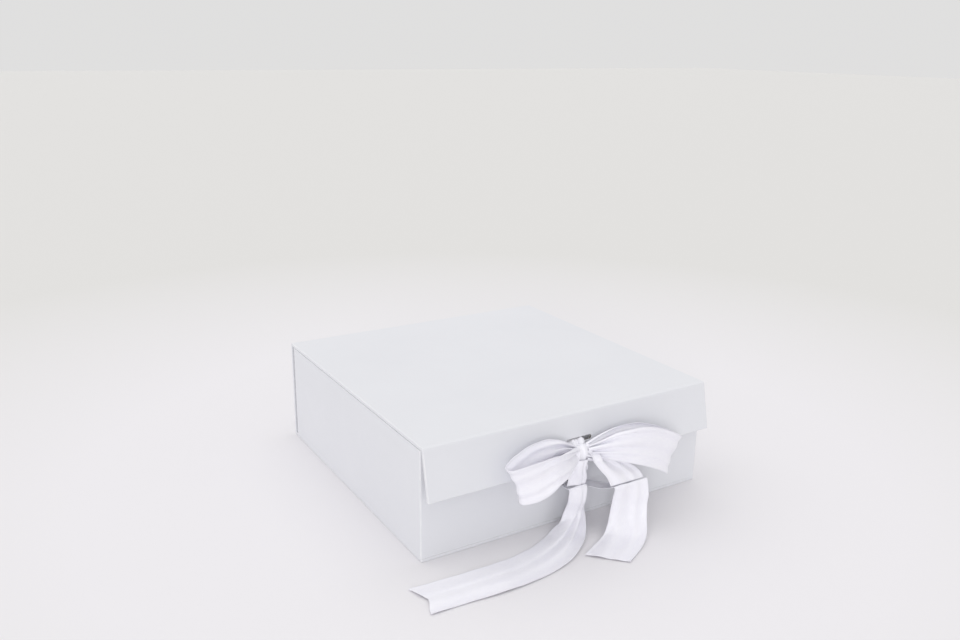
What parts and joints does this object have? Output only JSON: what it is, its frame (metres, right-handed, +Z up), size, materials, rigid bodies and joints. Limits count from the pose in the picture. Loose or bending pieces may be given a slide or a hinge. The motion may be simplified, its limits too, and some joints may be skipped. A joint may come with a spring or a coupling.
{
  "type": "ribbon-tied keepsake box",
  "caption": "Rigid white book-style box with hinged lid, hanging magnetic front flap and a satin ribbon bow tied through slots in the flap and the tray.",
  "frame": {"origin": "centre of the underside of the box, on the surface that it stands on", "axes": "+Z up, -Y towards the front with the flap and the bow, +X to the right as seen from the front"},
  "size_m": [0.3315, 0.3875, 0.105],
  "materials": {
    "wrap_paper": "white uncoated-look laminated paper, soft satin, wrapped over board",
    "liner_paper": "matte white liner paper",
    "greyboard": "grey recycled chipboard, fibrous matte, hidden inside the wrap",
    "stay_tape": "brown gummed kraft tape, hidden under the wrap",
    "magnet": "nickel-plated disc magnet, hidden in the flap",
    "steel_plate": "zinc-plated steel disc, hidden in the front wall",
    "satin_ribbon": "white single-face satin ribbon with a faint lavender cast, soft sheen, thin enough to pass some light"
  },
  "bodies": {
    "tray": {"base_board": "greyboard", "base_wrap": "wrap_paper", "base_crease": "wrap_paper", "tray_floor_board": "greyboard", "tray_front_wall": "greyboard", "tray_back_wall": "greyboard", "tray_left_wall": "greyboard", "tray_right_wall": "greyboard", "corner_stay_front_left": "stay_tape", "corner_stay_front_right": "stay_tape", "corner_stay_back_left": "stay_tape", "corner_stay_back_right": "stay_tape", "tray_wrap": "wrap_paper", "tray_wall_liner": "liner_paper", "tray_floor_liner": "liner_paper", "strike_plate_left": "steel_plate", "strike_plate_right": "steel_plate", "wall_ribbon_lead": "satin_ribbon", "streamer_left": "satin_ribbon", "streamer_right": "satin_ribbon"},
    "spine": {"spine_board": "greyboard", "spine_wrap": "wrap_paper", "spine_liner": "liner_paper", "lid_crease": "wrap_paper"},
    "lid": {"lid_board": "greyboard", "lid_wrap": "wrap_paper", "lid_liner": "liner_paper", "flap_crease": "wrap_paper"},
    "flap": {"flap_board": "greyboard", "flap_wrap": "wrap_paper", "flap_liner": "liner_paper", "flap_magnet_left": "magnet", "flap_magnet_right": "magnet", "flap_ribbon_lead": "satin_ribbon", "bow_knot": "satin_ribbon", "bow_loop_left": "satin_ribbon", "bow_loop_right": "satin_ribbon", "bow_tail_left": "satin_ribbon", "bow_tail_right": "satin_ribbon"}
  },
  "joints": [
    {"name": "spine_hinge", "type": "hinge", "parent": "tray", "child": "spine", "pos_m": [0, 0.1475, 0.0015], "axis": [-1, 0, 0], "range_deg": [0, 15]},
    {"name": "lid_hinge", "type": "hinge", "parent": "spine", "child": "lid", "pos_m": [0, 0.1475, 0.1035], "axis": [-1, 0, 0], "range_deg": [0, 105]},
    {"name": "flap_hinge", "type": "hinge", "parent": "lid", "child": "flap", "pos_m": [0, -0.1515, 0.1035], "axis": [-1, 0, 0], "range_deg": [-12, 90]}
  ],
  "couplings": [
    {"joint": "spine_hinge", "follows": "lid_hinge", "ratio": 0.14286}
  ]
}
